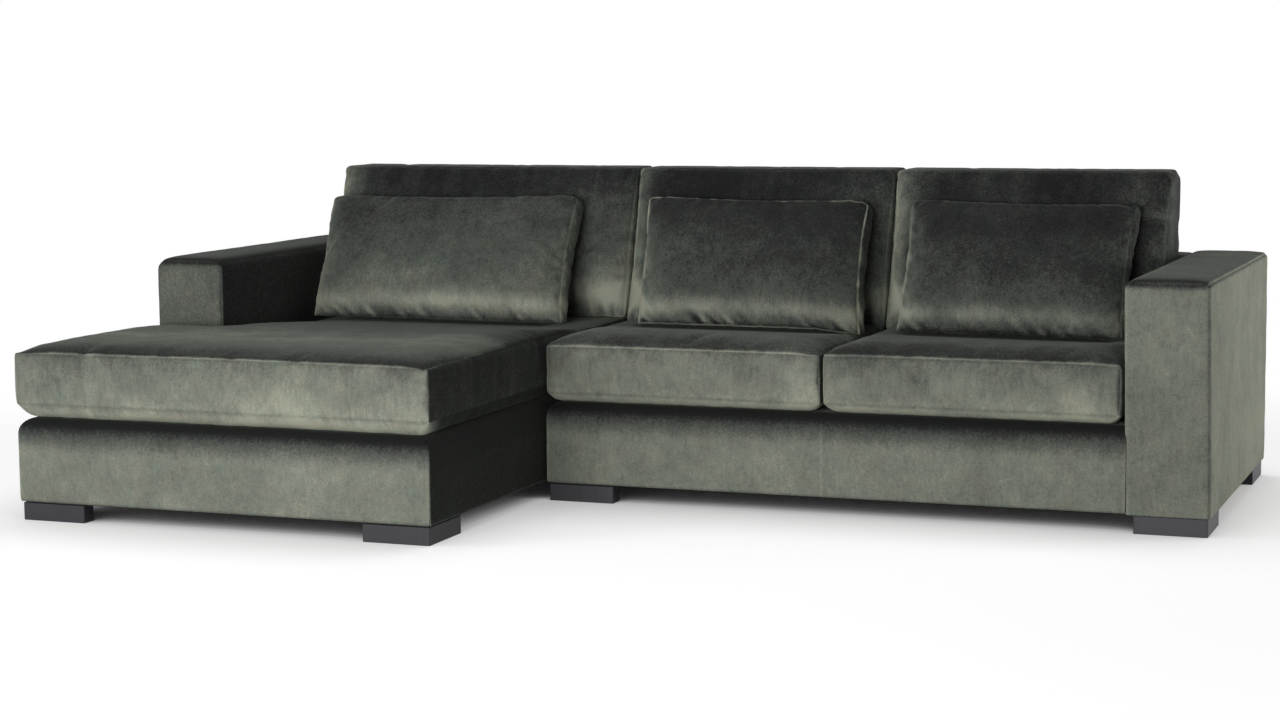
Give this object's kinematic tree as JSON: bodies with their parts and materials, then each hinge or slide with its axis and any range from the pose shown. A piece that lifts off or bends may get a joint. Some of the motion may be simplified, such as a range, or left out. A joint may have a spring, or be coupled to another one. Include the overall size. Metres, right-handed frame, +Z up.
{
  "type": "chaise sofa",
  "caption": "Velvet corner sofa with a chaise on the left, loose seat, back and lumbar cushions on sprung timber frames.",
  "frame": {"origin": "on the floor, under the middle of the outline's bounding box", "axes": "+X to the right along the back as seen from the front, +Y towards the back, +Z up"},
  "size_m": [2.921, 1.708, 0.855],
  "materials": {
    "velvet": "dark grey-green cut-pile velvet, matte with a pale sheen at grazing angles",
    "frame_timber": "raw beech rails and plywood boards, unseen in use",
    "spring_steel": "bare drawn spring wire",
    "connector_steel": "zinc plated pressed steel",
    "deck_cloth": "dark platform cloth over a thin pad",
    "dust_cloth": "black spun-bonded dust cloth",
    "foot_wood": "black stained wood, satin",
    "cushion_foam": "open-cell polyurethane foam"
  },
  "bodies": {
    "frames": {"chaise_back_cover": "velvet", "chaise_back_frame": "frame_timber", "chaise_connector_hook": "connector_steel", "chaise_cross_rail": "frame_timber", "chaise_dust_cover": "dust_cloth", "chaise_foot_front_left": "foot_wood", "chaise_foot_front_right": "foot_wood", "chaise_foot_rear_left": "foot_wood", "chaise_foot_rear_right": "foot_wood", "chaise_front_panel": "velvet", "chaise_front_rail": "frame_timber", "chaise_left_front_rail": "frame_timber", "chaise_left_panel": "velvet", "chaise_left_rear_rail": "frame_timber", "chaise_rear_rail": "frame_timber", "chaise_right_panel": "velvet", "chaise_right_rail": "frame_timber", "chaise_seat_deck": "deck_cloth", "chaise_spring_deck": "spring_steel", "left_arm_cover": "velvet", "left_arm_frame": "frame_timber", "right_arm_cover": "velvet", "right_arm_frame": "frame_timber", "sofa_back_cover": "velvet", "sofa_back_frame": "frame_timber", "sofa_centre_rail": "frame_timber", "sofa_connector_tab": "connector_steel", "sofa_dust_cover": "dust_cloth", "sofa_foot_front_left": "foot_wood", "sofa_foot_front_right": "foot_wood", "sofa_foot_rear_left": "foot_wood", "sofa_foot_rear_right": "foot_wood", "sofa_front_panel": "velvet", "sofa_front_rail": "frame_timber", "sofa_left_panel": "velvet", "sofa_left_rail": "frame_timber", "sofa_rear_rail": "frame_timber", "sofa_right_rail": "frame_timber", "sofa_seat_deck": "deck_cloth", "sofa_spring_deck": "spring_steel"},
    "chaise_seat_cushion": {"chaise_seat_cushion_cover": "velvet", "chaise_seat_cushion_filling": "cushion_foam"},
    "chaise_back_cushion": {"chaise_back_cushion_cover": "velvet", "chaise_back_cushion_filling": "cushion_foam"},
    "chaise_lumbar_cushion": {"chaise_lumbar_cushion_cover": "velvet", "chaise_lumbar_cushion_filling": "cushion_foam"},
    "left_seat_cushion": {"left_seat_cushion_cover": "velvet", "left_seat_cushion_filling": "cushion_foam"},
    "left_back_cushion": {"left_back_cushion_cover": "velvet", "left_back_cushion_filling": "cushion_foam"},
    "left_lumbar_cushion": {"left_lumbar_cushion_cover": "velvet", "left_lumbar_cushion_filling": "cushion_foam"},
    "right_seat_cushion": {"right_seat_cushion_cover": "velvet", "right_seat_cushion_filling": "cushion_foam"},
    "right_back_cushion": {"right_back_cushion_cover": "velvet", "right_back_cushion_filling": "cushion_foam"},
    "right_lumbar_cushion": {"right_lumbar_cushion_cover": "velvet", "right_lumbar_cushion_filling": "cushion_foam"}
  },
  "joints": [
    {"name": "chaise_seat_cushion_lift", "type": "slide", "parent": "frames", "child": "chaise_seat_cushion", "axis": [0, 0, 1], "range_m": [0, 0.6]},
    {"name": "chaise_back_cushion_lift", "type": "slide", "parent": "chaise_seat_cushion", "child": "chaise_back_cushion", "axis": [0, 0, 1], "range_m": [0, 0.45]},
    {"name": "chaise_lumbar_cushion_lift", "type": "slide", "parent": "chaise_back_cushion", "child": "chaise_lumbar_cushion", "axis": [0, 0, 1], "range_m": [0, 0.45]},
    {"name": "left_seat_cushion_lift", "type": "slide", "parent": "frames", "child": "left_seat_cushion", "axis": [0, 0, 1], "range_m": [0, 0.6]},
    {"name": "left_back_cushion_lift", "type": "slide", "parent": "left_seat_cushion", "child": "left_back_cushion", "axis": [0, 0, 1], "range_m": [0, 0.45]},
    {"name": "left_lumbar_cushion_lift", "type": "slide", "parent": "left_back_cushion", "child": "left_lumbar_cushion", "axis": [0, 0, 1], "range_m": [0, 0.45]},
    {"name": "right_seat_cushion_lift", "type": "slide", "parent": "frames", "child": "right_seat_cushion", "axis": [0, 0, 1], "range_m": [0, 0.6]},
    {"name": "right_back_cushion_lift", "type": "slide", "parent": "right_seat_cushion", "child": "right_back_cushion", "axis": [0, 0, 1], "range_m": [0, 0.45]},
    {"name": "right_lumbar_cushion_lift", "type": "slide", "parent": "right_back_cushion", "child": "right_lumbar_cushion", "axis": [0, 0, 1], "range_m": [0, 0.45]}
  ]
}
